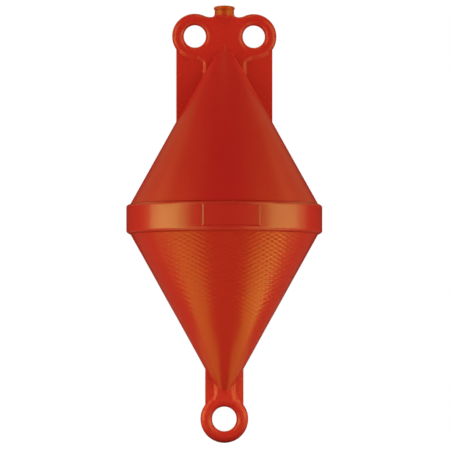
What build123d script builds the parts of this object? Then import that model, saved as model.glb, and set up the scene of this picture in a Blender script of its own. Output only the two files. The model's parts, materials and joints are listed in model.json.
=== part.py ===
"""Bi-conical mooring and marker buoy: two conical float shells, a waist band, lugs with eyes and a filler."""
import os
from math import atan, cos, radians, sin, sqrt

from build123d import *

# Float: two cones set base to base, with their skirts meeting on the mid-plane at z = 0
apex_height = 300.0  # mid-plane to the point where the cone's side would close
cone_tip_radius = 9.0  # flat end of the cone, hidden inside the lug
shell_wall = 3.5

# Waist band
band_radius = 160.0
band_thickness = 8.0  # how far the band stands out from the foot of the cones
band_half_height = 27.0
shoulder_height = 6.9  # height of each sloped shoulder
band_corner_round = 3.0
label_half_angle = 17.0  # degrees to each side of the front
label_depth = 1.8
label_top = 19.2
label_bottom = -16.5

# Raised parts of the lugs and the thinner webs beside them
lug_thickness = 18.0
lug_edge_round = 5.0
lug_corner_round = 8.0  # inner corners of the raised outline
web_thickness = 10.0
web_edge_round = 2.0
eye_rim_round = 6.0

# Top lug
top_eye_spacing = 21.2  # core left between the two eyes
top_eye_drop = 0.8  # eye axis below the cone's apex
top_eye_radius = 37.7
top_eye_hole_radius = 18.0
top_core_half_width = 33.0
top_web_width = 45.5  # core's flank to the web's free edge
saddle_flat = 4.1  # flat of the dip between the neck's foot and the eye's corner
neck_foot_height = 5.0  # rise from the dip to the foot of the neck
neck_foot_round = 4.5

# Filler
neck_radius = 16.7
neck_bore_radius = 11.0
neck_height = 7.5
neck_taper_height = 12.0  # tapered root below the neck, on both faces of the lug
plug_radius = 16.9
plug_dome_height = 7.0
plug_rim_height = 4.6
plug_shoulder_round = 4.4

# Bottom lug
bottom_eye_radius = 39.5
bottom_eye_hole_radius = 19.8
bottom_core_half_width = 16.5
bottom_web_width = 14.5  # rib's flank to the web's free edge
bottom_rib_length = 42.1  # eye axis to the blunt tip of the cone

# Room between pieces that are welded together, and the overlap of cutting shapes
weld_gap = 0.1
cut_margin = 20.0
eye_seam = 1.0  # the seam around an eye lies this far outside its ring

cone_base_radius = band_radius - band_thickness  # where the cone leaves the band, and its skirt inside it
cone_slope = cone_base_radius / (apex_height - band_half_height)
cone_half_angle = atan(cone_slope)
wall_across = shell_wall / cos(cone_half_angle)  # wall measured square to the axis
tip_height = apex_height - cone_tip_radius / cone_slope
top_eye_offset = top_eye_radius + top_eye_spacing / 2  # eye axis to the buoy's axis
top_eye_height = apex_height - top_eye_drop
saddle_reach = top_eye_offset - neck_radius - neck_foot_round - saddle_flat
saddle_rise = sqrt((top_eye_radius + lug_corner_round) ** 2 - saddle_reach**2) - lug_corner_round
saddle_height = top_eye_height + saddle_rise
neck_base = saddle_height + neck_foot_height
top_web_half_width = top_core_half_width + top_web_width
bottom_web_half_width = bottom_core_half_width + bottom_web_width
bottom_eye_height = -tip_height - bottom_rib_length
neck_top = neck_base + neck_height


def cone_radius(height):
    """Outer radius of either cone at a distance from the mid-plane."""
    return (apex_height - height) * cone_slope


def cone_height(radius):
    """Distance from the mid-plane at which either cone has a radius."""
    return apex_height - radius / cone_slope


def nearest(vertices, x, z):
    """The vertex of an upright outline that is nearest to a point."""
    return vertices.sort_by(lambda vertex: (vertex.X - x) ** 2 + (vertex.Y - z) ** 2)[0]


def shell_points(side):
    """Half section of one float shell, above the mid-plane for side 1 and below it for side -1."""
    skirt_inside = cone_base_radius - shell_wall
    knee = cone_height(skirt_inside + wall_across)
    ceiling = tip_height - shell_wall
    section = [
        (cone_base_radius, 0),
        (cone_base_radius, band_half_height),
        (cone_tip_radius, tip_height),
        (0, tip_height),
        (0, ceiling),
        (cone_radius(ceiling) - wall_across, ceiling),
        (skirt_inside, knee),
        (skirt_inside, 0),
    ]
    return [(radius, side * height) for radius, height in section]


def socket_points(side):
    """Half section of the room that a float shell takes up, with the weld gap around it."""
    gap_across = weld_gap / cos(cone_half_angle)
    section = [
        (0, 0),
        (cone_base_radius + gap_across, 0),
        (cone_base_radius + gap_across, band_half_height),
        (cone_tip_radius + gap_across, tip_height + weld_gap),
        (0, tip_height + weld_gap),
    ]
    return [(radius, side * height) for radius, height in section]


os.makedirs("parts", exist_ok=True)

# Upper and lower float shells
with BuildPart() as upper_cone:
    with BuildSketch(Plane.XZ):
        with BuildLine():
            Polyline(shell_points(1), close=True)
        make_face()
    revolve(axis=Axis.Z)

with BuildPart() as lower_cone:
    with BuildSketch(Plane.XZ):
        with BuildLine():
            Polyline(shell_points(-1), close=True)
        make_face()
    revolve(axis=Axis.Z)

# Waist band around both skirts, with a bare recessed field on its front
band_inner_radius = cone_base_radius + weld_gap
flat_half_height = band_half_height - shoulder_height
label_start = radians(-90 - label_half_angle)
label_plane = Plane(
    origin=(0, 0, 0),
    x_dir=(cos(label_start), sin(label_start), 0),
    z_dir=(sin(label_start), -cos(label_start), 0),
)
with BuildPart() as waist_band:
    with BuildSketch(Plane.XZ) as band_section:
        with BuildLine():
            Polyline(
                (band_inner_radius, -band_half_height),
                (band_radius, -flat_half_height),
                (band_radius, flat_half_height),
                (band_inner_radius, band_half_height),
                close=True,
            )
        make_face()
        fillet(band_section.vertices().group_by(Axis.X)[-1], band_corner_round)
    revolve(axis=Axis.Z)
    with BuildSketch(label_plane):
        with Locations((band_radius, (label_top + label_bottom) / 2)):
            Rectangle(2 * label_depth, label_top - label_bottom)
    revolve(axis=Axis.Z, revolution_arc=2 * label_half_angle, mode=Mode.SUBTRACT)

# Room taken by the two float shells, cut out of everything that is welded onto them
with BuildPart() as upper_socket:
    with BuildSketch(Plane.XZ):
        with BuildLine():
            Polyline(socket_points(1), close=True)
        make_face()
    revolve(axis=Axis.Z)

with BuildPart() as lower_socket:
    with BuildSketch(Plane.XZ):
        with BuildLine():
            Polyline(socket_points(-1), close=True)
        make_face()
    revolve(axis=Axis.Z)

# Raised outline of the top lug: two eyes, the core below them, the bridge between them and the neck's foot
core_bottom = cone_height(top_core_half_width) - cut_margin
foot_top = neck_base + lug_thickness
flank_corner = top_eye_height - sqrt(top_eye_radius**2 - (top_eye_offset - top_core_half_width) ** 2)
saddle_corner = top_eye_offset - sqrt(top_eye_radius**2 - (saddle_height - top_eye_height) ** 2)
with BuildSketch(Plane.XZ) as top_outline:
    with Locations((-top_eye_offset, top_eye_height), (top_eye_offset, top_eye_height)):
        Circle(top_eye_radius)
    with Locations((0, (core_bottom + top_eye_height) / 2)):
        Rectangle(2 * top_core_half_width, top_eye_height - core_bottom)
    with Locations((0, (top_eye_height + saddle_height) / 2)):
        Rectangle(2 * top_eye_offset, saddle_height - top_eye_height)
    with Locations((0, (core_bottom + foot_top) / 2)):
        Rectangle(2 * neck_radius, foot_top - core_bottom)
    for side in (-1, 1):
        fillet(nearest(top_outline.vertices(), side * neck_radius, saddle_height), neck_foot_round)
        fillet(nearest(top_outline.vertices(), side * saddle_corner, saddle_height), lug_corner_round)
        fillet(nearest(top_outline.vertices(), side * top_core_half_width, flank_corner), lug_corner_round)

with BuildPart() as top_form:
    extrude(top_outline.sketch, amount=lug_thickness / 2, both=True)
    fillet(top_form.faces().filter_by(Axis.Y).edges(), lug_edge_round)

# Core of the top lug, seated over the tip of the upper cone
with BuildPart() as top_lug:
    add(top_form.part)
    with BuildSketch(Plane.XY.offset(neck_base - neck_taper_height)):
        Circle(lug_thickness / 2)
    with BuildSketch(Plane.XY.offset(neck_base)):
        Circle(neck_radius)
    loft()
    split(bisect_by=Plane.XY.offset(neck_base), keep=Keep.BOTTOM)
    with BuildSketch(Plane.XZ):
        with Locations((-top_eye_offset, top_eye_height), (top_eye_offset, top_eye_height)):
            Circle(top_eye_radius + eye_seam)
    extrude(amount=lug_thickness, both=True, mode=Mode.SUBTRACT)
    add(upper_socket.part, mode=Mode.SUBTRACT)

top_eyes = []
top_webs = []
for side, name in ((-1, "left"), (1, "right")):
    # Eye of the top lug, with a rounded rim around a straight hole
    with BuildPart() as top_eye:
        add(top_form.part)
        with BuildSketch(Plane.XZ):
            with Locations((side * top_eye_offset, top_eye_height)):
                Circle(top_eye_radius + eye_seam - weld_gap)
        extrude(amount=lug_thickness, both=True, mode=Mode.INTERSECT)
        split(bisect_by=Plane.YZ, keep=Keep.TOP if side > 0 else Keep.BOTTOM)
        with BuildSketch(Plane.XZ):
            with Locations((side * top_eye_offset, top_eye_height)):
                Circle(top_eye_hole_radius)
        extrude(amount=lug_thickness, both=True, mode=Mode.SUBTRACT)
        rims = top_eye.edges().filter_by(GeomType.CIRCLE)
        rims = rims.filter_by(lambda edge: abs(edge.radius - top_eye_hole_radius) < weld_gap)
        fillet(rims, eye_rim_round)
        add(upper_socket.part, mode=Mode.SUBTRACT)
    top_eye.part.label = f"top_eye_{name}"
    top_eyes.append(top_eye.part)

    # Thin web between the eye, the core and the side of the cone
    web_bottom = cone_height(top_web_half_width) - cut_margin
    with BuildPart() as top_web:
        with BuildSketch(Plane.XZ):
            with Locations((side * top_web_half_width / 2, (web_bottom + top_eye_height) / 2)):
                Rectangle(top_web_half_width, top_eye_height - web_bottom)
        extrude(amount=web_thickness / 2, both=True)
        outer_face = top_web.faces().sort_by(Axis.X)[-1 if side > 0 else 0]
        fillet(outer_face.edges().filter_by(Axis.Z), web_edge_round)
        with BuildSketch(Plane.XZ):
            offset(top_outline.sketch_local, amount=weld_gap)
        extrude(amount=web_thickness, both=True, mode=Mode.SUBTRACT)
        add(upper_socket.part, mode=Mode.SUBTRACT)
    top_web.part.label = f"top_web_{name}"
    top_webs.append(top_web.part)

# Filler neck and the domed plug that closes it
with BuildPart() as filler_neck:
    with BuildSketch(Plane.XY.offset(neck_base)):
        Circle(neck_radius)
        Circle(neck_bore_radius, mode=Mode.SUBTRACT)
    extrude(amount=neck_height)

crown_rise = plug_dome_height - plug_rim_height
crown_radius = (plug_radius**2 + crown_rise**2) / (2 * crown_rise)
with BuildPart() as filler_plug:
    with BuildSketch(Plane.XZ) as plug_section:
        with BuildLine():
            Polyline(
                (0, neck_top + plug_dome_height),
                (0, neck_base),
                (neck_bore_radius - weld_gap, neck_base),
                (neck_bore_radius - weld_gap, neck_top),
                (plug_radius, neck_top),
                (plug_radius, neck_top + plug_rim_height),
            )
            RadiusArc(
                (plug_radius, neck_top + plug_rim_height),
                (0, neck_top + plug_dome_height),
                -crown_radius,
            )
        make_face()
        rim = nearest(plug_section.vertices(), plug_radius, neck_top + plug_rim_height)
        fillet(rim, min(plug_shoulder_round, plug_rim_height))
    revolve(axis=Axis.Z)

# Raised outline of the bottom lug: the mooring eye and the rib that runs up into the cone
rib_top = cut_margin - cone_height(bottom_core_half_width)
rib_corner = bottom_eye_height + sqrt(bottom_eye_radius**2 - bottom_core_half_width**2)
with BuildSketch(Plane.XZ) as bottom_outline:
    with Locations((0, bottom_eye_height)):
        Circle(bottom_eye_radius)
    with Locations((0, (bottom_eye_height + rib_top) / 2)):
        Rectangle(2 * bottom_core_half_width, rib_top - bottom_eye_height)
    for side in (-1, 1):
        fillet(nearest(bottom_outline.vertices(), side * bottom_core_half_width, rib_corner), lug_corner_round)

with BuildPart() as bottom_form:
    extrude(bottom_outline.sketch, amount=lug_thickness / 2, both=True)
    fillet(bottom_form.faces().filter_by(Axis.Y).edges(), lug_edge_round)

with BuildPart() as bottom_rib:
    add(bottom_form.part)
    with BuildSketch(Plane.XZ):
        with Locations((0, bottom_eye_height)):
            Circle(bottom_eye_radius + eye_seam)
    extrude(amount=lug_thickness, both=True, mode=Mode.SUBTRACT)
    add(lower_socket.part, mode=Mode.SUBTRACT)

with BuildPart() as bottom_eye:
    add(bottom_form.part)
    with BuildSketch(Plane.XZ):
        with Locations((0, bottom_eye_height)):
            Circle(bottom_eye_radius + eye_seam - weld_gap)
    extrude(amount=lug_thickness, both=True, mode=Mode.INTERSECT)
    with BuildSketch(Plane.XZ):
        with Locations((0, bottom_eye_height)):
            Circle(bottom_eye_hole_radius)
    extrude(amount=lug_thickness, both=True, mode=Mode.SUBTRACT)
    rims = bottom_eye.edges().filter_by(GeomType.CIRCLE)
    rims = rims.filter_by(lambda edge: abs(edge.radius - bottom_eye_hole_radius) < weld_gap)
    fillet(rims, eye_rim_round)

bottom_webs = []
for side, name in ((-1, "left"), (1, "right")):
    # Thin web beside the rib
    web_top = cut_margin - cone_height(bottom_web_half_width)
    with BuildPart() as bottom_web:
        with BuildSketch(Plane.XZ):
            with Locations((side * bottom_web_half_width / 2, (web_top + bottom_eye_height) / 2)):
                Rectangle(bottom_web_half_width, web_top - bottom_eye_height)
        extrude(amount=web_thickness / 2, both=True)
        outer_face = bottom_web.faces().sort_by(Axis.X)[-1 if side > 0 else 0]
        fillet(outer_face.edges().filter_by(Axis.Z), web_edge_round)
        with BuildSketch(Plane.XZ):
            offset(bottom_outline.sketch_local, amount=weld_gap)
        extrude(amount=web_thickness, both=True, mode=Mode.SUBTRACT)
        add(lower_socket.part, mode=Mode.SUBTRACT)
    bottom_web.part.label = f"bottom_web_{name}"
    bottom_webs.append(bottom_web.part)

upper_cone.part.label = "upper_cone"
lower_cone.part.label = "lower_cone"
waist_band.part.label = "waist_band"
top_lug.part.label = "top_lug"
filler_neck.part.label = "filler_neck"
filler_plug.part.label = "filler_plug"
bottom_rib.part.label = "bottom_rib"
bottom_eye.part.label = "bottom_eye"

export_step(upper_cone.part, "parts/upper_cone.step")
export_step(lower_cone.part, "parts/lower_cone.step")
export_step(waist_band.part, "parts/waist_band.step")
export_step(top_lug.part, "parts/top_lug.step")
export_step(filler_neck.part, "parts/filler_neck.step")
export_step(filler_plug.part, "parts/filler_plug.step")
export_step(bottom_rib.part, "parts/bottom_rib.step")
export_step(bottom_eye.part, "parts/bottom_eye.step")
for piece in top_eyes + top_webs + bottom_webs:
    export_step(piece, f"parts/{piece.label}.step")
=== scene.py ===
"""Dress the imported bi-conical mooring buoy for its studio portrait.

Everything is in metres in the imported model's frame: z = 0 is the middle of the waist band, the label field
faces -Y, and the parting line of the mould lies in the plane y = 0.
"""

import json
import logging
import math
from dataclasses import dataclass
from enum import Enum

import bmesh
import bpy
from mathutils import Matrix, Vector, noise


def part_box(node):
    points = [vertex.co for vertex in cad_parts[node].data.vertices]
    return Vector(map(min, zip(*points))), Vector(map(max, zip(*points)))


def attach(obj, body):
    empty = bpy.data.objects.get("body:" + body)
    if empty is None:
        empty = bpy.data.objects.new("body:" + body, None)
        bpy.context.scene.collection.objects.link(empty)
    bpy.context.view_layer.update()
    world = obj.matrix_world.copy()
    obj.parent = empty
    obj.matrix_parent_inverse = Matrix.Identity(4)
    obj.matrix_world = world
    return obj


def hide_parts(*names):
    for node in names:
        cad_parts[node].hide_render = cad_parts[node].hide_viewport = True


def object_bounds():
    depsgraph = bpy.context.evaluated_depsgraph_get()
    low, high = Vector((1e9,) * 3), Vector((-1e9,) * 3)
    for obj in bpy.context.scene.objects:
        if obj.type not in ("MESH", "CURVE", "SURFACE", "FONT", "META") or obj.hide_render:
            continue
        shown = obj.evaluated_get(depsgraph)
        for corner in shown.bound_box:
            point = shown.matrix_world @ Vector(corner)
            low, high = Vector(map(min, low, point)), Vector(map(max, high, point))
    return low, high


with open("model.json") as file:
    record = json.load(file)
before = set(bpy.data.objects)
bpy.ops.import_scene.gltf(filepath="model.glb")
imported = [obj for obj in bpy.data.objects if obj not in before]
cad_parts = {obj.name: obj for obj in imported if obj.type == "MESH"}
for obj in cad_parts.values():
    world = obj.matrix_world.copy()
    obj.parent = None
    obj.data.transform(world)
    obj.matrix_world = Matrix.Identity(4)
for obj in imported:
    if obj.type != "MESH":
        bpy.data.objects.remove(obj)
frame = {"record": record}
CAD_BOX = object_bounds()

LOG = logging.getLogger("buoy")
MM = 0.001
BODY = "root"
APEX = 300 * MM  # From the mid-plane to the points where the cones' walls would meet the axis.
SEAM = 0.35 * MM  # Height of the mould's parting line.
WELD = 0.005 * MM  # Points nearer to each other than this are one.
IN_PLANE = 0.01 * MM  # Points nearer to a plane than this lie in it.
ON_CUT = 0.001 * MM  # Points nearer to a cut than this lie on it.
ORIGIN = Vector((0, 0, 0))
UP = Vector((0, 0, 1))
EYE_AIM = Vector((0, 0, -0.30))  # Where the low lights point, a little over the mooring eye.

Plan = list[tuple[float, float]]
Offsets = tuple[tuple[float, float], ...]
Numbers = tuple[float, ...]


class Half(Enum):
    """The two halves of the float, with the way their tips point along Z."""

    UPPER = 1
    LOWER = -1


class Side(Enum):
    """The two sides of the buoy, with their sign along X."""

    LEFT = -1
    RIGHT = 1


def linear(hex_code: str) -> tuple[float, float, float, float]:
    """Turn an sRGB hex code into the linear colour that the shaders take.

    Args:
        hex_code: Six hex digits, with or without the leading hash.

    Returns:
        Linear red, green and blue, and an alpha of one.
    """
    digits = hex_code.lstrip("#")
    channels = [int(digits[place:place + 2], 16) / 255 for place in (0, 2, 4)]
    bent = [c / 12.92 if c <= 0.04045 else ((c + 0.055) / 1.055) ** 2.4 for c in channels]
    return (*bent, 1.0)


def add_node(
    tree: bpy.types.NodeTree,
    kind: str,
    links: dict[str, bpy.types.NodeSocket] | None = None,
    values: dict[str, object] | None = None,
    **settings: object,
) -> bpy.types.Node:
    """Add one shader node with its settings, its socket values and its incoming links.

    Args:
        tree: Node tree that takes the node.
        kind: Node type, such as ShaderNodeBump.
        links: Output sockets to link, by the name of the input they go to.
        values: Values of unlinked inputs, by name.
        **settings: Properties of the node itself.

    Returns:
        The new node.
    """
    node = tree.nodes.new(kind)
    for name, value in settings.items():
        setattr(node, name, value)
    for name, value in (values or {}).items():
        node.inputs[name].default_value = value
    for name, socket in (links or {}).items():
        tree.links.new(socket, node.inputs[name])
    return node


def smoothstep(low: float, high: float, value: float) -> float:
    """Ease from 0 at low to 1 at high."""
    t = min(max((value - low) / (high - low), 0.0), 1.0)
    return t * t * (3 - 2 * t)


def arc(centre: tuple[float, float], radius: float, start: float, end: float, steps: int) -> Plan:
    """Points of a circular arc in a plan.

    Args:
        centre: Centre of the circle.
        radius: Radius of the circle.
        start: First angle in degrees.
        end: Last angle in degrees.
        steps: Number of chords.

    Returns:
        The points, both ends included.
    """
    angles = [math.radians(start + (end - start) * step / steps) for step in range(steps + 1)]
    return [(centre[0] + radius * math.cos(a), centre[1] + radius * math.sin(a)) for a in angles]


def mirrored(half: Plan) -> Plan:
    """Close the right half of a plan with its mirror image across x = 0."""
    return half + [(-x, z) for x, z in reversed(half)]


def spin_profile(
    bm: bmesh.types.BMesh,
    profile: list[Vector],
    steps: int,
    centre: Vector = ORIGIN,
    axis: Vector = UP,
    closed: bool = False,
) -> None:
    """Turn a profile once round an axis.

    Args:
        bm: Mesh that takes the surface.
        profile: Points of the profile, in order.
        steps: Number of steps round the axis.
        centre: A point of the axis.
        axis: Direction of the axis.
        closed: Whether the profile's last point joins its first.
    """
    verts = [bm.verts.new(point) for point in profile]
    ends = verts[1:] + (verts[:1] if closed else [])
    edges = [bm.edges.new(pair) for pair in zip(verts, ends)]
    bmesh.ops.spin(
        bm, geom=verts + edges, cent=centre, axis=axis, angle=math.tau, steps=steps, use_merge=True
    )
    bmesh.ops.remove_doubles(bm, verts=bm.verts, dist=WELD)


def extrude_plan(bm: bmesh.types.BMesh, plan: Plan, thickness: float, edge_round: float) -> None:
    """Make a plate with rounded edges from a plan in the XZ plane.

    Args:
        bm: Mesh that takes the plate.
        plan: Corners of the plan in millimetres, in order.
        thickness: Thickness along Y in metres, equal on both sides of y = 0.
        edge_round: Radius of the rounded edges of both faces in metres.
    """
    front = bm.faces.new([bm.verts.new((x * MM, -thickness / 2, z * MM)) for x, z in plan])
    pulled = bmesh.ops.extrude_face_region(bm, geom=[front], use_keep_orig=True)["geom"]
    moved = [item for item in pulled if isinstance(item, bmesh.types.BMVert)]
    bmesh.ops.translate(bm, verts=moved, vec=(0, thickness, 0))
    back = next(item for item in pulled if isinstance(item, bmesh.types.BMFace))
    rims = list({*front.edges, *back.edges})
    bmesh.ops.bevel(
        bm, geom=rims, offset=edge_round, offset_type="OFFSET", segments=4, profile=0.5,
        affect="EDGES", clamp_overlap=True, material=-1,
    )


def make_piece(bm: bmesh.types.BMesh, name: str, crease: float = 40.0) -> bpy.types.Object:
    """Close a mesh off as an object at the origin.

    Args:
        bm: Finished mesh, freed here.
        name: Name of the piece.
        crease: Angle in degrees above which an edge stays sharp.

    Returns:
        The new object, linked to the scene.
    """
    bmesh.ops.remove_doubles(bm, verts=bm.verts, dist=WELD)
    bmesh.ops.recalc_face_normals(bm, faces=bm.faces)
    mesh = bpy.data.meshes.new(name)
    bm.to_mesh(mesh)
    bm.free()
    mesh.shade_smooth()
    mesh.set_sharp_from_angle(angle=math.radians(crease))
    piece = bpy.data.objects.new(name, mesh)
    bpy.context.scene.collection.objects.link(piece)
    return piece


def fuse(bm: bmesh.types.BMesh, name: str, voxel: float, passes: int) -> bpy.types.Object:
    """Melt overlapping closed shapes into one skin with soft inner corners.

    Args:
        bm: Mesh of the overlapping shapes, freed here.
        name: Name of the piece.
        voxel: Grain of the skin in metres.
        passes: Number of smoothing passes, which set how round the inner corners get.

    Returns:
        The new object, linked to the scene.
    """
    rough = make_piece(bm, f"{name}_rough")
    melt = rough.modifiers.new("melt", "REMESH")
    melt.mode = "VOXEL"
    melt.voxel_size = voxel
    depsgraph = bpy.context.evaluated_depsgraph_get()
    melted = bpy.data.meshes.new_from_object(rough.evaluated_get(depsgraph))
    skin = bmesh.new()
    skin.from_mesh(melted)
    for _ in range(passes):
        bmesh.ops.smooth_vert(
            skin, verts=skin.verts, factor=0.5, use_axis_x=True, use_axis_y=True, use_axis_z=True
        )
    coarse = rough.data
    bpy.data.objects.remove(rough)
    bpy.data.meshes.remove(coarse)
    bpy.data.meshes.remove(melted)
    return make_piece(skin, name, crease=180.0)


def hand_over(piece: bpy.types.Object, skins: list[bpy.types.Material], *nodes: str) -> None:
    """Dress a piece, let it ride on the buoy, stand for its CAD nodes and report itself.

    Args:
        piece: Finished piece.
        skins: Its finishes, in the order of their numbers.
        *nodes: CAD nodes that it stands for.
    """
    for skin in skins:
        piece.data.materials.append(skin)
    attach(piece, BODY)
    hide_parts(*nodes)
    triangles = sum(len(face.vertices) - 2 for face in piece.data.polygons)
    LOG.info("%s: %d triangles for %s", piece.name, triangles, ", ".join(nodes))


@dataclass(frozen=True)
class MouldedPolyethylene:
    """Blow-moulded polyethylene, coloured through, with the satin skin that the mould leaves.

    Attributes:
        name: Name of the material.
        pigment: Main colour.
        thin: Colour where the wall is thinner and the pigment less dense.
        cloud: Size of the clouds in the pigment.
        peel: Size of the orange peel left by the mould's blasted face.
        peel_height: Height of that orange peel.
        rub: Size of the rubbed patches.
        roughness: Roughness where the skin is cleanest.
        scuffed: Roughness where it is rubbed dull.
        gloss: Specular level of the skin.
        glint: Tint of the highlights.
    """

    name: str
    pigment: str
    thin: str
    cloud: float = 38 * MM
    peel: float = 1.6 * MM
    peel_height: float = 0.012 * MM
    rub: float = 9 * MM
    roughness: float = 0.30
    scuffed: float = 0.34
    gloss: float = 0.69
    glint: tuple[float, float, float] = (1.0, 0.85, 0.11)

    def build(self) -> bpy.types.Material:
        """Make the material's node tree.

        Returns:
            The new material.
        """
        material = bpy.data.materials.new(self.name)
        material.use_nodes = True
        tree = material.node_tree
        tree.nodes.clear()
        place = add_node(tree, "ShaderNodeTexCoord").outputs["Object"]
        grains = ((self.cloud, 3.0, 0.45), (self.rub, 4.0, 0.6), (self.peel, 2.0, 0.5))
        clouds, rubbed, peel = [
            add_node(
                tree, "ShaderNodeTexNoise", links={"Vector": place},
                values={"Scale": 1 / size, "Detail": detail, "Roughness": roughness},
            ).outputs["Fac"]
            for size, detail, roughness in grains
        ]
        # Faint clouds keep the broad cones from reading as one flat red.
        tone = add_node(tree, "ShaderNodeMix", data_type="RGBA", links={"Factor": clouds})
        # The colour sockets share their names with others of the node, so they go by number.
        tone.inputs[6].default_value = linear(self.pigment)
        tone.inputs[7].default_value = linear(self.thin)
        # Handling rubs the skin unevenly, so the highlights break up a little.
        dull = add_node(
            tree, "ShaderNodeMapRange", links={"Value": rubbed},
            values={"From Min": 0.35, "From Max": 0.7, "To Min": self.roughness, "To Max": self.scuffed},
        )
        # The fine peel takes the mirror edge off the softbox reflections.
        relief = add_node(
            tree, "ShaderNodeBump", links={"Height": peel},
            values={"Strength": 1.0, "Distance": self.peel_height},
        )
        shader = add_node(
            tree,
            "ShaderNodeBsdfPrincipled",
            links={
                "Base Color": tone.outputs[2],
                "Roughness": dull.outputs["Result"],
                "Normal": relief.outputs["Normal"],
            },
            values={"IOR": 1.5, "Specular IOR Level": self.gloss, "Specular Tint": (*self.glint, 1.0)},
        )
        add_node(tree, "ShaderNodeOutputMaterial", links={"Surface": shader.outputs["BSDF"]})
        return material


@dataclass
class GripTexture:
    """Staggered diamond bumps on the front and back of the lower cone.

    Attributes:
        across: Distance between neighbouring columns of bumps along X.
        along: Distance between bumps of one column along Z.
        relief: Height of a bump above the hollow beside it.
        top: Height where the bumps begin under the band.
        bottom: Height where they run out above the lug.
        fade_in: Length over which they begin.
        fade_out: Length over which they run out.
        side_start: Share of Y in the wall's direction where they begin beside the parting line.
        side_full: Share of Y where they have their full height.
    """

    across: float = 6.7 * MM
    along: float = 7.05 * MM
    relief: float = 0.9 * MM
    top: float = -25 * MM
    bottom: float = -205 * MM
    fade_in: float = 4 * MM
    fade_out: float = 125 * MM
    side_start: float = 0.52
    side_full: float = 0.72

    def lift(self, point: Vector) -> float:
        """Height of the texture over the plain cone.

        Args:
            point: A point of the plain cone, away from the axis.

        Returns:
            Lift in metres, up or down.
        """
        radius = math.hypot(point.x, point.y)
        facing = smoothstep(self.side_start, self.side_full, abs(point.y) / radius)
        below = smoothstep(0, self.fade_in, self.top - point.z)
        above = smoothstep(0, self.fade_out, point.z - self.bottom)
        wave = math.cos(math.pi * point.x / self.across) * math.cos(math.tau * point.z / self.along)
        return 0.5 * self.relief * facing * below * above * wave


def cone_slope() -> float:
    """Radius that the cones gain for each metre away from their points."""
    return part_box("upper_cone")[1].x / (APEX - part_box("waist_band")[1].z)


@dataclass
class FloatCone:
    """One half of the float: a straight cone from inside the band to a blunt tip.

    Attributes:
        half: Which half of the float it is.
        steps: Steps round the axis.
        rows: Rows of faces along the slope.
        buried: How far the wall runs on inside the band.
        foot: Distance of its hidden end from the mid-plane.
        sway: How far the blown wall wanders from a true cone.
        sway_length: Length over which it wanders.
        true_tip: Radius round the axis within which it stays a true cone.
        grip: Texture on the cone, if any.
    """

    half: Half
    steps: int
    rows: int
    buried: float = 7 * MM
    foot: float = 2 * MM
    sway: float = 0.25 * MM
    sway_length: float = 70 * MM
    true_tip: float = 10 * MM
    grip: GripTexture | None = None

    @property
    def node(self) -> str:
        """CAD node that the cone stands for."""
        return f"{self.half.name.lower()}_cone"

    def build(self) -> bpy.types.Object:
        """Turn the cone and give it its parting line, its sway and its texture.

        Returns:
            The cone's object.
        """
        low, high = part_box(self.node)
        tip = high.z if self.half is Half.UPPER else low.z
        slope = cone_slope()
        base = APEX - high.x / slope - self.buried
        base_radius = (APEX - base) * slope
        blunt = (APEX - abs(tip)) * slope
        corner = Vector((base_radius, 0, self.half.value * base))
        shoulder = Vector((blunt, 0, tip))
        foot = Vector((base_radius, 0, self.half.value * self.foot))
        wall = [corner.lerp(shoulder, row / self.rows) for row in range(self.rows + 1)]
        bm = bmesh.new()
        spin_profile(bm, [Vector((0, 0, foot.z)), foot, *wall, Vector((0, 0, tip))], self.steps)
        for vert in bm.verts:
            self._shape(vert)
        return make_piece(bm, f"{self.node}_skin")

    def _shape(self, vert: bmesh.types.BMVert) -> None:
        """Move one vertex by the sway, the parting line and the texture.

        Args:
            vert: Vertex of the plain cone.
        """
        radius = math.hypot(vert.co.x, vert.co.y)
        if radius < self.true_tip:
            return
        outward = Vector((vert.co.x / radius, vert.co.y / radius, 0))
        lift = self.sway * noise.noise(vert.co / self.sway_length)
        if abs(vert.co.y) < IN_PLANE:
            lift += SEAM
        if self.grip:
            lift += self.grip.lift(vert.co)
        vert.co += outward * lift

    def dress(self, piece: bpy.types.Object, skin: bpy.types.Material) -> None:
        """Give the cone its plastic and hand it over."""
        hand_over(piece, [skin], self.node)


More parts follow.
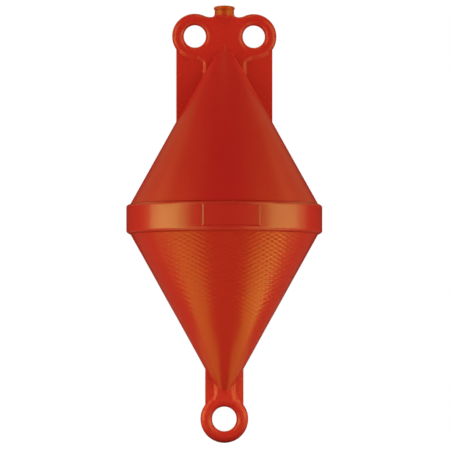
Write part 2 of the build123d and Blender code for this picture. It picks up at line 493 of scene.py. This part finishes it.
@dataclass
class WaistBand:
    """Raised band round the waist with a shallow bare label field on its front.

    Attributes:
        steps: Steps round the axis.
        flat: Half height of the band's upright face.
        corner: Radius between the upright face and the shoulders.
        shoulder: Height where the shoulders end on the cones.
        inset: How far the band reaches in under the cones' skin.
        label_angle: Half width of the label field in degrees.
        label_top: Upper edge of the label field.
        label_bottom: Lower edge of the label field.
        label_depth: Depth of the label field.
        label_slope: Width of the sloped wall round the label field.
        face_depth: Depth under the outer radius that still counts as the band's outside.
        seam_clear: Distance from the cones at which the parting line begins.
    """

    steps: int = 360
    flat: float = 21.6 * MM
    corner: float = 2.6 * MM
    shoulder: float = 25.2 * MM
    inset: float = 3 * MM
    label_angle: float = 17.0
    label_top: float = 19.2 * MM
    label_bottom: float = -16.5 * MM
    label_depth: float = 1.8 * MM
    label_slope: float = 1.7 * MM
    face_depth: float = 4 * MM
    seam_clear: float = 0.5 * MM

    def build(self) -> bpy.types.Object:
        """Turn the band, round its corners and sink the label field.

        Returns:
            The band's object.
        """
        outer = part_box("waist_band")[1].x
        wall = (APEX - self.shoulder) * cone_slope()
        inner = wall - self.inset
        section = [(inner, -self.shoulder), (wall, -self.shoulder), (outer, -self.flat)]
        section += [(radius, -height) for radius, height in reversed(section)]
        bm = bmesh.new()
        spin_profile(bm, [Vector((radius, 0, z)) for radius, z in section], self.steps, closed=True)
        self._round_corners(bm, outer)
        self._sink_label(bm, outer)
        self._raise_seam(bm, wall)
        return make_piece(bm, "waist_band_skin", crease=35.0)

    def _round_corners(self, bm: bmesh.types.BMesh, radius: float) -> None:
        """Round the two outer corners of the band.

        Args:
            bm: Mesh of the band.
            radius: Outer radius of the band.
        """
        outermost = radius - 0.1 * MM
        rings = [
            edge
            for edge in bm.edges
            if all(math.hypot(v.co.x, v.co.y) > outermost for v in edge.verts)
            and abs(edge.verts[0].co.z - edge.verts[1].co.z) < IN_PLANE
        ]
        bmesh.ops.bevel(
            bm, geom=rings, offset=self.corner, segments=5, profile=0.5, affect="EDGES", material=-1
        )

    def _sink_label(self, bm: bmesh.types.BMesh, radius: float) -> None:
        """Sink the label field between its four edges.

        Args:
            bm: Mesh of the band.
            radius: Outer radius of the band.
        """
        turn = math.radians(self.label_angle)
        cuts = [
            (Vector((0, 0, self.label_top)), UP),
            (Vector((0, 0, self.label_bottom)), UP),
            (ORIGIN, Vector((math.cos(turn), math.sin(turn), 0))),
            (ORIGIN, Vector((math.cos(turn), -math.sin(turn), 0))),
        ]
        for place, normal in cuts:
            everything = [*bm.verts, *bm.edges, *bm.faces]
            bmesh.ops.bisect_plane(bm, geom=everything, dist=ON_CUT, plane_co=place, plane_no=normal)
        field = [face for face in bm.faces if self._in_label(face.calc_center_median(), radius)]
        bmesh.ops.inset_region(bm, faces=field, thickness=self.label_slope, depth=0.0, use_even_offset=True)
        verts = list({vert for face in field for vert in face.verts})
        ratio = 1 - self.label_depth / radius
        bmesh.ops.scale(bm, verts=verts, vec=(ratio, ratio, 1.0))

    def _in_label(self, point: Vector, radius: float) -> bool:
        """Whether a point of the band lies in the label field.

        Args:
            point: Middle of a face.
            radius: Outer radius of the band.

        Returns:
            True for a point between the field's four edges, on the band's outside.
        """
        if math.hypot(point.x, point.y) < radius - self.face_depth:
            return False
        angle = math.degrees(math.atan2(point.x, -point.y))
        return abs(angle) < self.label_angle and self.label_bottom < point.z < self.label_top

    def _raise_seam(self, bm: bmesh.types.BMesh, wall: float) -> None:
        """Raise the parting line of the mould on the band.

        Args:
            bm: Mesh of the band.
            wall: Radius of the cones where the shoulders end.
        """
        for vert in bm.verts:
            if abs(vert.co.y) < IN_PLANE and abs(vert.co.x) > wall + self.seam_clear:
                vert.co.x += math.copysign(SEAM, vert.co.x)

    def dress(self, piece: bpy.types.Object, skin: bpy.types.Material, dull: bpy.types.Material) -> None:
        """Give the band its polished face and its dull shoulders, darker as painted shade, and hand it over.

        Args:
            piece: The band's object.
            skin: Finish of the upright face.
            dull: Finish of the shoulders, dull and with a darker pigment as painted shade.
        """
        hand_over(piece, [skin, dull], "waist_band")
        for face in piece.data.polygons:
            # Faces past the upright face's corner take the shoulder finish with its painted shade.
            face.material_index = int(abs(face.center.z) > self.flat + self.corner / 2)


def depth_of(node: str) -> float:
    """Size of a CAD node along Y."""
    low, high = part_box(node)
    return high.y - low.y


def eye_mount(name: str) -> dict:
    """Record of one eye's hole, by name."""
    return next(mount for mount in frame["record"]["mounts"] if mount["name"] == name)


def neck_radius() -> float:
    """Radius of the filler neck, a little slimmer than its solid under the plug's flange."""
    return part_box("filler_neck")[1].x - 0.8 * MM


def eye_ring(bm: bmesh.types.BMesh, mount: dict, outer: float, thickness: float, rim: float) -> None:
    """Turn the raised ring of an eye with rounded rims.

    Args:
        bm: Mesh that takes the ring.
        mount: Record of the eye's hole.
        outer: Outer radius of the ring.
        thickness: Thickness along Y.
        rim: Radius of the rounded rims.
    """
    chords, steps = 5, 120
    x, _, z = mount["pos_m"]
    hole = mount["dims"]["r_mm"] * MM
    level = thickness / 2 - rim
    section = arc((hole + rim, level), rim, 180, 90, chords)
    section += arc((outer - rim, level), rim, 90, 0, chords)
    section += [(radius, -y) for radius, y in reversed(section)]
    points = [Vector((x + radius, y, z)) for radius, y in section]
    spin_profile(bm, points, steps, centre=Vector((x, 0, z)), axis=Vector((0, 1, 0)), closed=True)


def upright_cone(bm: bmesh.types.BMesh, low: float, high: float, depth: float, middle: float) -> None:
    """Add a closed cone or cylinder that stands on the buoy's axis.

    Args:
        bm: Mesh that takes it.
        low: Radius of its lower end.
        high: Radius of its upper end.
        depth: Its height.
        middle: Height of its middle.
    """
    bmesh.ops.create_cone(
        bm, cap_ends=True, segments=96, radius1=low, radius2=high, depth=depth,
        matrix=Matrix.Translation((0, 0, middle)),
    )


def over_cone(bm: bmesh.types.BMesh, start: float, proud: float) -> None:
    """Add the end of the lower cone as it rises out of the float's own skin, so that a lug melts into it.

    Args:
        bm: Mesh that takes the cone.
        start: Distance from the mid-plane to its wide end, which lies 1 mm under the skin.
        proud: How far its narrow end stands over the skin.
    """
    tip = abs(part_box("lower_cone")[0].z)
    bmesh.ops.create_cone(
        bm, cap_ends=True, segments=180, depth=tip - start,
        radius1=(APEX - start) * cone_slope() - 1 * MM,
        radius2=(APEX - tip) * cone_slope() + proud,
        matrix=Matrix.Translation((0, 0, -(start + tip) / 2)) @ Matrix.Rotation(math.pi, 4, "X"),
    )


def web_root(bm: bmesh.types.BMesh, half: Plan, thickness: float) -> None:
    """Add a plate just inside the webs, so that what stands on them melts into them with a soft root.

    Args:
        bm: Mesh that takes the plate.
        half: Right half of the webs' plan in millimetres.
        thickness: Thickness of the webs in metres.
    """
    inset, thinner, edge_round = 3.0, 0.3 * MM, 0.5 * MM
    inside = [(max(x - inset, 0), z) for x, z in half]
    extrude_plan(bm, mirrored(inside), thickness - thinner, edge_round)


@dataclass
class Lug:
    """Flat lug at one tip of the float: a melted skin with thin webs beside it, all in millimetres.

    Attributes:
        end: Word that the names of its nodes and pieces begin with.
        raised: CAD nodes that the melted skin stands for.
        corner: Radius of the inner corners of the plan.
        edge_round: Radius of the raised edges.
        eye_round: Radius of the eyes' rims.
        web_round: Radius of the webs' free edges.
        root: Distance from the mid-plane to the plan's end inside the cone.
    """

    end: str
    raised: tuple[str, ...]
    corner: float
    edge_round: float = 4.0
    eye_round: float = 8.6
    web_round: float = 0.6
    root: float = 222.0

    def build_webs(self) -> bpy.types.Object:
        """Cut the plate whose two sides show as the webs.

        Returns:
            The plate's object.
        """
        bm = bmesh.new()
        extrude_plan(bm, mirrored(self._web_plan()), self._web_depth(), self.web_round * MM)
        return make_piece(bm, f"{self.end}_web_skin")

    def dress(self, lug: bpy.types.Object, webs: bpy.types.Object, skin: bpy.types.Material) -> None:
        """Give lug and webs their plastic and hand them over."""
        hand_over(lug, [skin], *self.raised)
        hand_over(webs, [skin], f"{self.end}_web_left", f"{self.end}_web_right")

    def _web_depth(self) -> float:
        """Thickness of the webs in metres."""
        return depth_of(f"{self.end}_web_right")

    def _web_width(self) -> float:
        """Half width of the webs."""
        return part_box(f"{self.end}_web_right")[1].x / MM

    def _web_plan(self) -> Plan:
        """Right half of the webs' plan, from inside the cone to inside the eye."""
        raise NotImplementedError


@dataclass
class TopLug(Lug):
    """Lug on the upper cone: two eyes, a raised core with the neck's foot, and webs at the sides.

    Attributes:
        core: Half width of the core under the eyes.
        saddle: Height of the dips beside the neck.
        foot_gap: Straight length between the round beside the neck and the neck's foot.
        taper: Height of the tapered root under the neck.
        taper_inset: How far the wide end of that root stays inside the core's faces.
        sleeve_inset: How far the short sleeve round the neck's foot stays inside the neck.
        sleeve: Height of that sleeve.
        sleeve_rise: Height of its middle over the neck's foot.
        web_foot: Height of the webs' end inside the cone.
        web_drop: Height of the webs' outer corners from the middle of the eyes.
        in_ring: Points of the core's plan inside an eye's ring, from the eye's middle.
        web_in_ring: Points of the webs' plan inside that ring, from the eye's middle.
    """

    end: str = "top"
    raised: tuple[str, ...] = ("top_lug", "top_eye_left", "top_eye_right")
    corner: float = 8.0
    core: float = 33.0
    saddle: float = 330.7
    foot_gap: float = 0.5
    taper: float = 7.0
    taper_inset: float = 1.0
    sleeve_inset: float = 0.5
    sleeve: float = 4.0
    sleeve_rise: float = 1.0
    web_foot: float = 150.0
    web_drop: float = -18.0
    in_ring: Offsets = ((-4, -30), (-18, -22), (-25, -8), (-25, 8), (-18, 22), (-8, 29))
    web_in_ring: Offsets = ((14, -26), (0, -27), (-14, -27))

    def build(self) -> bpy.types.Object:
        """Melt the eyes, the core, the neck's root and the roots of the webs into one skin.

        Returns:
            The lug's object.
        """
        thickness = depth_of("top_eye_right")
        foot, neck = self._neck()
        bm = bmesh.new()
        for side in Side:
            mount = eye_mount(f"top_eye_{side.name.lower()}")
            eye_ring(bm, mount, self._eye()[2] * MM, thickness, self.eye_round * MM)
        extrude_plan(bm, mirrored(self._core_plan()), thickness, self.edge_round * MM)
        web_root(bm, self._web_plan(), self._web_depth())
        wide = thickness / 2 - self.taper_inset * MM
        upright_cone(bm, wide, neck * MM, self.taper * MM, (foot - self.taper / 2) * MM)
        sleeve = (neck - self.sleeve_inset) * MM
        upright_cone(bm, sleeve, sleeve, self.sleeve * MM, (foot + self.sleeve_rise) * MM)
        return fuse(bm, "top_lug_skin", voxel=1.0 * MM, passes=32)

    def _eye(self) -> tuple[float, float, float]:
        """Place and outer radius of the right eye: x, z and radius."""
        x, _, z = eye_mount("top_eye_right")["pos_m"]
        return x / MM, z / MM, (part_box("top_eye_right")[1].z - z) / MM

    def _neck(self) -> tuple[float, float]:
        """Height of the neck's foot and the neck's radius."""
        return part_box("filler_neck")[0].z / MM, neck_radius() / MM

    def _core_plan(self) -> Plan:
        """Draw the core between the eyes.

        Returns:
            Right half of the core's plan, from inside the cone up to the neck.
        """
        x, z, radius = self._eye()
        foot, neck = self._neck()
        reach = radius + self.corner
        low_x = self.core + self.corner
        low_z = z - math.sqrt(reach**2 - (x - low_x) ** 2)
        low_end = math.degrees(math.atan2(z - low_z, x - low_x))
        high_z = self.saddle + self.corner
        high_x = x - math.sqrt(reach**2 - (high_z - z) ** 2)
        high_start = math.degrees(math.atan2(z - high_z, x - high_x))
        foot_round = foot - self.saddle - self.foot_gap
        plan: Plan = [(self.core, self.root)]
        plan += arc((low_x, low_z), self.corner, 180, low_end, 8)
        plan += [(x + right, z + up) for right, up in self.in_ring]
        plan += arc((high_x, high_z), self.corner, high_start, -90, 3)
        plan += arc((neck + foot_round, self.saddle + foot_round), foot_round, -90, -180, 4)
        plan += [(neck, foot)]
        return plan

    def _web_plan(self) -> Plan:
        """Draw the webs.

        Returns:
            Right half of the webs' plan, from inside the cone up into the eye.
        """
        x, z, _ = self._eye()
        web = self._web_width()
        ends = [(x + right, z + up) for right, up in self.web_in_ring]
        return [(web, self.web_foot), (web, z + self.web_drop), *ends]


@dataclass
class BottomLug(Lug):
    """Narrow lug under the lower cone: a rib with webs beside it, ending in the mooring eye.

    Attributes:
        rib: Half width of the rib.
        cone_start: Distance from the mid-plane to where the cone begins to rise into the lug.
        cone_proud: How far the cone's tip stands over its own skin.
        in_ring: End of the rib's plan inside the eye's ring, from the eye's middle.
        web_rise: Height of the webs' outer corners from the middle of the eye.
        web_in_ring: End of the webs' plan inside the eye's ring, from the eye's middle.
    """

    end: str = "bottom"
    raised: tuple[str, ...] = ("bottom_rib", "bottom_eye")
    corner: float = 5.0
    rib: float = 14.4
    cone_start: float = 268.0
    cone_proud: float = 0.6
    in_ring: tuple[float, float] = (12.0, 26.0)
    web_rise: float = 23.0
    web_in_ring: tuple[float, float] = (10.0, 25.0)

    def build(self) -> bpy.types.Object:
        """Melt the eye, the rib, the cone's tip and the roots of the webs into one skin.

        Returns:
            The lug's object.
        """
        mount = eye_mount("bottom_eye")
        z = self._eye_height()
        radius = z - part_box("bottom_eye")[0].z / MM
        thickness = depth_of("bottom_eye")
        bm = bmesh.new()
        eye_ring(bm, mount, radius * MM, thickness, self.eye_round * MM)
        reach = radius + self.corner
        turn_x = self.rib + self.corner
        turn_z = z + math.sqrt(reach**2 - turn_x**2)
        end = math.degrees(math.atan2(z - turn_z, -turn_x))
        plan: Plan = [(self.rib, -self.root)]
        plan += arc((turn_x, turn_z), self.corner, 180, 360 + end, 8)
        plan += [(self.in_ring[0], z + self.in_ring[1])]
        extrude_plan(bm, mirrored(plan), thickness, self.edge_round * MM)
        web_root(bm, self._web_plan(), self._web_depth())
        over_cone(bm, self.cone_start * MM, self.cone_proud * MM)
        return fuse(bm, "bottom_lug_skin", voxel=0.9 * MM, passes=40)

    def _eye_height(self) -> float:
        """Height of the middle of the eye."""
        return eye_mount("bottom_eye")["pos_m"][2] / MM

    def _web_plan(self) -> Plan:
        """Draw the webs.

        Returns:
            Right half of the webs' plan, from inside the cone down into the eye.
        """
        z = self._eye_height()
        web = self._web_width()
        end = (self.web_in_ring[0], z + self.web_in_ring[1])
        return [(web, -self.root), (web, z + self.web_rise), end]


@dataclass
class Filler:
    """Round filler neck on the top lug with the domed plug that closes it.

    Attributes:
        steps: Steps round the axis.
        wall: Thickness of the neck's wall.
        sink: How far the neck runs on inside the lug.
        lip: Radius of the neck's rounded lip.
        gap: Width of the groove between lip and plug.
        flange: How far the plug stands out over its solid.
        edge: Radius of the flange's lower edge.
        rim: Height of the plug's upright rim.
        shoulder: Radius between the rim and the dome.
        shoulder_turn: Angle that the shoulder turns through, in degrees.
        stem_inset: How far the plug's stem stays inside its rim.
    """

    steps: int = 128
    wall: float = 6 * MM
    sink: float = 1.5 * MM
    lip: float = 0.6 * MM
    gap: float = 0.15 * MM
    flange: float = 0.3 * MM
    edge: float = 0.8 * MM
    rim: float = 1.6 * MM
    shoulder: float = 3.8 * MM
    shoulder_turn: float = 62.0
    stem_inset: float = 7 * MM

    def build_neck(self) -> bpy.types.Object:
        """Turn the neck with a rounded lip.

        Returns:
            The neck's object.
        """
        low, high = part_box("filler_neck")
        radius = neck_radius()
        bore = radius - self.wall
        sunk = low.z - self.sink
        profile = [(bore, sunk), (radius, sunk)]
        profile += arc((radius - self.lip, high.z - self.lip), self.lip, 0, 90, 4)
        profile += [(bore, high.z)]
        bm = bmesh.new()
        spin_profile(bm, [Vector((r, 0, z)) for r, z in profile], self.steps, closed=True)
        return make_piece(bm, "filler_neck_skin")

    def build_plug(self) -> bpy.types.Object:
        """Turn the plug with its rim, its shoulder and its low dome.

        Returns:
            The plug's object.
        """
        low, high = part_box("filler_plug")
        radius = high.x + self.flange
        stem = radius - self.stem_inset
        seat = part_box("filler_neck")[1].z + self.gap
        turn = (radius - self.shoulder, seat + self.rim)
        crown_start = turn[1] + self.shoulder * math.sin(math.radians(self.shoulder_turn))
        crown_radius = turn[0] + self.shoulder * math.cos(math.radians(self.shoulder_turn))
        rise = high.z - crown_start
        ball = (crown_radius**2 + rise**2) / (2 * rise)
        sweep = math.degrees(math.asin(crown_radius / ball))
        profile: Plan = [(0.0, low.z), (stem, low.z), (stem, seat)]
        profile += arc((radius - self.edge, seat + self.edge), self.edge, -90, 0, 3)
        profile += arc(turn, self.shoulder, 0, self.shoulder_turn, 5)
        profile += arc((0.0, high.z - ball), ball, 90 - sweep, 90, 6)[1:]
        bm = bmesh.new()
        spin_profile(bm, [Vector((r, 0, z)) for r, z in profile], self.steps)
        return make_piece(bm, "filler_plug_skin")

    def dress(self, neck: bpy.types.Object, plug: bpy.types.Object, skin: bpy.types.Material) -> None:
        """Give neck and plug their plastic and hand them over."""
        hand_over(neck, [skin], "filler_neck")
        hand_over(plug, [skin], "filler_plug")


@dataclass
class Softbox:
    """One rectangular studio light, out of the lens's sight.

    Attributes:
        name: Name of the light.
        place: Where its middle is.
        aim: Point that it faces.
        width: Width of its face.
        height: Height of its face.
        radiance: Brightness of its face.
        colour: Colour of its light, warm as of old studio lamps.
        glossy: Whether the skin mirrors its face, or only takes its light.
    """

    name: str
    place: Vector
    aim: Vector
    width: float
    height: float
    radiance: float
    colour: tuple[float, float, float] = (1.0, 0.99, 0.40)
    glossy: bool = True

    @classmethod
    def around(
        cls, name: str, azimuth: tuple[float, float], rise: tuple[float, float], radiance: float
    ) -> "Softbox":
        """Hang a light on a dome round the buoy so that it fills a patch of directions.

        Args:
            name: Name of the light.
            azimuth: First and last direction in degrees, from the lens towards the right.
            rise: Lowest and highest direction in degrees.
            radiance: Brightness of its face.

        Returns:
            The light, 1.5 m from the middle of the buoy.
        """
        reach = 1.5
        turn = math.radians(sum(azimuth) / 2 + Studio.azimuth)
        lift = math.radians(sum(rise) / 2)
        out = Vector((math.sin(turn) * math.cos(lift), -math.cos(turn) * math.cos(lift), math.sin(lift)))
        width = 2 * reach * math.tan(math.radians(abs(azimuth[1] - azimuth[0]) / 2)) * math.cos(lift)
        height = 2 * reach * math.tan(math.radians(abs(rise[1] - rise[0]) / 2))
        return cls(name, out * reach, ORIGIN, width, height, radiance)

    @classmethod
    def strips(
        cls, name: str, side: Side, edges: Numbers, rise: tuple[float, float], radiances: Numbers
    ) -> list["Softbox"]:
        """Divide a wide softbox into upright strips of different brightness.

        Args:
            name: Name of the softbox.
            side: Side of the buoy that it stands on.
            edges: Directions of the strips' edges in degrees from the lens.
            rise: Lowest and highest direction in degrees.
            radiances: Brightness of each strip.

        Returns:
            The strips.
        """
        turned = [side.value * edge for edge in edges]
        pairs = zip(turned, turned[1:], radiances)
        return [cls.around(name, (first, last), rise, radiance) for first, last, radiance in pairs]

    @classmethod
    def card(cls, name: str, x: float, y: float, width: float, depth: float, radiance: float) -> "Softbox":
        """Lay a bright bounce card on the table.

        Args:
            name: Name of the card.
            x: Place of its middle along X.
            y: Place of its middle along Y.
            width: Size along X.
            depth: Size along Y.
            radiance: Brightness of its face.

        Returns:
            The card, facing up, 4 mm over the table.
        """
        place = Vector((x, y, CAD_BOX[0].z + 4 * MM))
        return cls(name, place, place + UP, width, depth, radiance)

    @classmethod
    def low(cls, name: str, azimuth: float, radiance: float) -> "Softbox":
        """Stand a small reflector on the table beside the lens, turned to the mooring eye.

        Args:
            name: Name of the reflector.
            azimuth: Its direction in degrees, from the lens towards the right.
            radiance: Brightness of its face.

        Returns:
            The reflector, 0.75 m from the buoy's axis.
        """
        reach, middle, width, height = 0.75, -0.22, 0.5, 0.26
        turn = math.radians(azimuth + Studio.azimuth)
        place = Vector((math.sin(turn) * reach, -math.cos(turn) * reach, middle))
        return cls(name, place, EYE_AIM, width, height, radiance)

    def build(self) -> None:
        """Hang the light."""
        data = bpy.data.lights.new(self.name, "AREA")
        data.shape = "RECTANGLE"
        data.size = self.width
        data.size_y = self.height
        data.energy = self.radiance * math.pi * self.width * self.height
        data.color = self.colour
        light = bpy.data.objects.new(self.name, data)
        light.location = self.place
        light.rotation_euler = (self.aim - self.place).to_track_quat("-Z", "Y").to_euler()
        light.visible_camera = False
        light.visible_glossy = self.glossy
        bpy.context.scene.collection.objects.link(light)


@dataclass(frozen=True)
class SideRig:
    """Brightness of the graded lights on one side of the buoy.

    Attributes:
        side: The side.
        strips: Brightness of the side softbox's strips, from the lens to the back.
        spots: Brightness of the row of bounce cards, from the buoy outwards.
    """

    side: Side
    strips: Numbers
    spots: Numbers

    # Directions of the strips' edges in degrees from the lens, and their lowest and highest directions.
    SIDE_EDGES = (41, 52, 66, 80, 92, 106)
    SIDE_RISE = (-12, 12)
    HIGH_EDGES = (30, 46, 62, 80, 105)
    HIGH_RISE = (13, 42)
    HIGH_STRIPS = (1.7, 3.2, 0.7, 0.9)

    # The lower cone mirrors this wedge of the table in its highlight: x, y and depth of each card.
    SPOT_PLACES = (
        (0.11, -0.075, 0.13),
        (0.20, -0.15, 0.24),
        (0.28, -0.175, 0.29),
        (0.36, -0.14, 0.22),
        (0.45, -0.08, 0.16),
    )
    SPOT_WIDTH = 0.09

    def lights(self) -> list[Softbox]:
        """List the softboxes, reflectors and bounce cards of the side.

        Returns:
            The lights, not yet hung.
        """
        sign, name = self.side.value, self.side.name.lower()
        lights = Softbox.strips(f"side_{name}", self.side, self.SIDE_EDGES, self.SIDE_RISE, self.strips)
        lights += Softbox.strips(f"high_{name}", self.side, self.HIGH_EDGES, self.HIGH_RISE, self.HIGH_STRIPS)
        lights += [
            Softbox.around(f"back_{name}", (sign * 105, sign * 150), (16, 44), 0.27),
            Softbox.low(f"low_{name}", sign * 40, 2.3),
            Softbox.card(f"rear_card_{name}", sign * 0.20, 0.06, 0.14, 0.18, 0.47),
            Softbox.card(f"outer_card_{name}", sign * 0.60, -0.12, 0.28, 0.5, 0.43),
        ]
        for (x, y, depth), radiance in zip(self.SPOT_PLACES, self.spots):
            lights.append(Softbox.card(f"spot_{name}", sign * x, y, self.SPOT_WIDTH, depth, radiance))
        return lights


@dataclass
class Studio:
    """White table and ground, graded lights on both sides, matt lamps and the long lens of a catalogue shot.

    Attributes:
        azimuth: Direction of the camera in degrees, seen from above.
        elevation: Height of the camera in degrees.
        distance: Distance of the camera.
        picture: Width of the picture at the buoy's axis.
        aim_height: Height of the picture's middle.
        aim_right: Shift of the picture's middle to the right of the axis.
        table_radius: Radius of the table.
    """

    azimuth: float = -4.3
    elevation: float = -2.32
    distance: float = 8.6
    picture: float = 735.2 * MM
    aim_height: float = -9.3 * MM
    aim_right: float = 1.1 * MM
    table_radius: float = 6.0

    def build(self) -> None:
        """Set up the table, the ground, the lights and the camera."""
        bpy.context.scene.view_settings.view_transform = "Standard"
        self._lay_table()
        self._light_ground()
        self._hang_lights()
        self._place_camera()

    def _lay_table(self) -> None:
        """Lay the white table under the mooring eye."""
        bm = bmesh.new()
        bmesh.ops.create_circle(bm, cap_ends=True, segments=96, radius=self.table_radius)
        bmesh.ops.translate(bm, verts=bm.verts, vec=(0, 0, CAD_BOX[0].z))
        mesh = bpy.data.meshes.new("table")
        bm.to_mesh(mesh)
        bm.free()
        table = bpy.data.objects.new("table", mesh)
        bpy.context.scene.collection.objects.link(table)
        mesh.materials.append(self._table_top())

    def _table_top(self) -> bpy.types.Material:
        """Make the table dark for the buoy and as white as the ground for the lens.

        Returns:
            The table's material.
        """
        material = bpy.data.materials.new("white_table")
        material.use_nodes = True
        tree = material.node_tree
        tree.nodes.clear()
        # The table glows for the lens only. Its glow is weaker within a metre of the buoy: a painted shade
        # round the buoy, which also leaves room for its real shadow.
        paths = add_node(tree, "ShaderNodeLightPath")
        place = add_node(tree, "ShaderNodeTexCoord").outputs["Object"]
        away = add_node(tree, "ShaderNodeVectorMath", operation="LENGTH", links={"Vector": place})
        painted_shade_ramp = add_node(
            tree, "ShaderNodeMapRange", links={"Value": away.outputs["Value"]},
            values={"From Min": 0.4, "From Max": 1.0, "To Min": 0.84, "To Max": 1.0},
        )
        glow = add_node(tree, "ShaderNodeMath", operation="MULTIPLY", links={"Value": painted_shade_ramp.outputs["Result"]})
        tree.links.new(paths.outputs["Is Camera Ray"], glow.inputs[1])
        shader = add_node(
            tree, "ShaderNodeBsdfPrincipled", links={"Emission Strength": glow.outputs[0]},
            values={
                "Base Color": (0.20, 0.20, 0.30, 1.0), "Emission Color": (1.0, 1.0, 1.0, 1.0),
                "Roughness": 0.9, "Specular IOR Level": 0.0,
            },
        )
        add_node(tree, "ShaderNodeOutputMaterial", links={"Surface": shader.outputs["BSDF"]})
        return material

    def _light_ground(self) -> None:
        """Make the ground white for the lens and dim for everything else."""
        world = bpy.data.worlds.new("studio")
        bpy.context.scene.world = world
        world.use_nodes = True
        tree = world.node_tree
        tree.nodes.clear()
        paths = add_node(tree, "ShaderNodeLightPath")
        dim = add_node(
            tree, "ShaderNodeBackground", values={"Color": (0.30, 0.17, 0.10, 1.0), "Strength": 0.2}
        )
        white = add_node(
            tree, "ShaderNodeBackground", values={"Color": (1.0, 1.0, 1.0, 1.0), "Strength": 1.0}
        )
        both = add_node(tree, "ShaderNodeMixShader", links={"Fac": paths.outputs["Is Camera Ray"]})
        tree.links.new(dim.outputs[0], both.inputs[1])
        tree.links.new(white.outputs[0], both.inputs[2])
        add_node(tree, "ShaderNodeOutputWorld", links={"Surface": both.outputs[0]})

    def _hang_lights(self) -> None:
        """Hang the front and back lights, the matt lamps and the graded lights of both sides."""
        lights = [
            Softbox.around("front_fill", (-30, 30), (20, 48), 0.08),
            Softbox.around("back_top", (145, 215), (32, 62), 1.0),
        ]
        matt = [
            Softbox.around("back_fill", (145, 215), (-10, 40), 1.2),
            Softbox("tip_lamp", Vector((0, -0.10, 0.62)), Vector((0, 0, 0.2)), 0.16, 0.10, 7.5),
            Softbox("eye_lamp", Vector((0, -0.75, -0.30)), EYE_AIM, 0.4, 0.12, 2.2),
        ]
        for light in matt:
            light.glossy = False
        lights += matt
        lights += SideRig(Side.LEFT, (1.9, 4.0, 4.2, 2.7, 0.2), (0.85, 1.0, 1.2, 1.5, 1.65)).lights()
        lights += SideRig(Side.RIGHT, (0.9, 3.2, 3.3, 2.7, 0.8), (0.85, 1.15, 1.75, 2.45, 3.0)).lights()
        for light in lights:
            light.build()

    def _place_camera(self) -> None:
        """Put the camera at table height, in front and a little to the left."""
        turn, rise = math.radians(self.azimuth), math.radians(self.elevation)
        back = Vector((math.sin(turn) * math.cos(rise), -math.cos(turn) * math.cos(rise), math.sin(rise)))
        right = Vector((math.cos(turn), math.sin(turn), 0))
        aim = right * self.aim_right + Vector((0, 0, self.aim_height))
        data = bpy.data.cameras.new("catalogue_camera")
        data.sensor_width = 36.0
        data.lens = data.sensor_width * self.distance / self.picture
        data.clip_start = 0.1
        data.clip_end = 60.0
        camera = bpy.data.objects.new("catalogue_camera", data)
        camera.location = aim + back * self.distance
        camera.rotation_euler = (-back).to_track_quat("-Z", "Y").to_euler()
        bpy.context.scene.collection.objects.link(camera)
        bpy.context.scene.camera = camera


def main() -> None:
    """Build and dress the buoy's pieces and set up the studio."""
    logging.basicConfig(level=logging.INFO, format="%(name)s: %(message)s")
    Studio().build()
    # The plain skin of a blasted mould is satin: broad, soft highlights.
    skin = MouldedPolyethylene("moulded_polyethylene", "BB1B2E", "BF1F32").build()
    # Bumps are rubbed smoother than the plain skin, so each one shows its own glint.
    gripped = MouldedPolyethylene(
        "gripped_polyethylene", "BA2129", "BE252D", roughness=0.235, scuffed=0.265
    ).build()
    # Nothing rubs the shoulders, so they stay dull; their pigment is also darker, a painted shade, so they
    # read as a dark line along the band.
    dull = MouldedPolyethylene(
        "shoulder_polyethylene", "B2201C", "B62420", roughness=0.5, scuffed=0.56, gloss=0.15
    ).build()
    # The band stands out and is rubbed most: a clear, narrow highlight.
    polished = MouldedPolyethylene(
        "polished_polyethylene", "BA272E", "BE2B32",
        roughness=0.23, scuffed=0.25, gloss=0.83, glint=(0.5, 0.67, 0.38),
    ).build()
    # Lugs and webs get a brighter copy of the same plastic: painted light, set to how the lamps fall on them,
    # not a different pigment.
    painted_light_lug_skin = MouldedPolyethylene(
        "thick_polyethylene", "C4272D", "C82B31",
        roughness=0.25, scuffed=0.28, gloss=0.65, glint=(0.55, 0.5, 0.3),
    ).build()
    # Neck and plug are a little more orange than the float.
    orange = MouldedPolyethylene(
        "neck_polyethylene", "B8371C", "BE3E1F", gloss=0.6, glint=(0.95, 0.8, 0.3)
    ).build()
    upper = FloatCone(Half.UPPER, steps=360, rows=60)
    upper.dress(upper.build(), skin)
    lower = FloatCone(Half.LOWER, steps=440, rows=210, grip=GripTexture())
    lower.dress(lower.build(), gripped)
    band = WaistBand()
    band.dress(band.build(), polished, dull)
    top = TopLug()
    top.dress(top.build(), top.build_webs(), painted_light_lug_skin)
    bottom = BottomLug()
    bottom.dress(bottom.build(), bottom.build_webs(), painted_light_lug_skin)
    filler = Filler()
    filler.dress(filler.build_neck(), filler.build_plug(), orange)


if __name__ == "__main__":
    main()
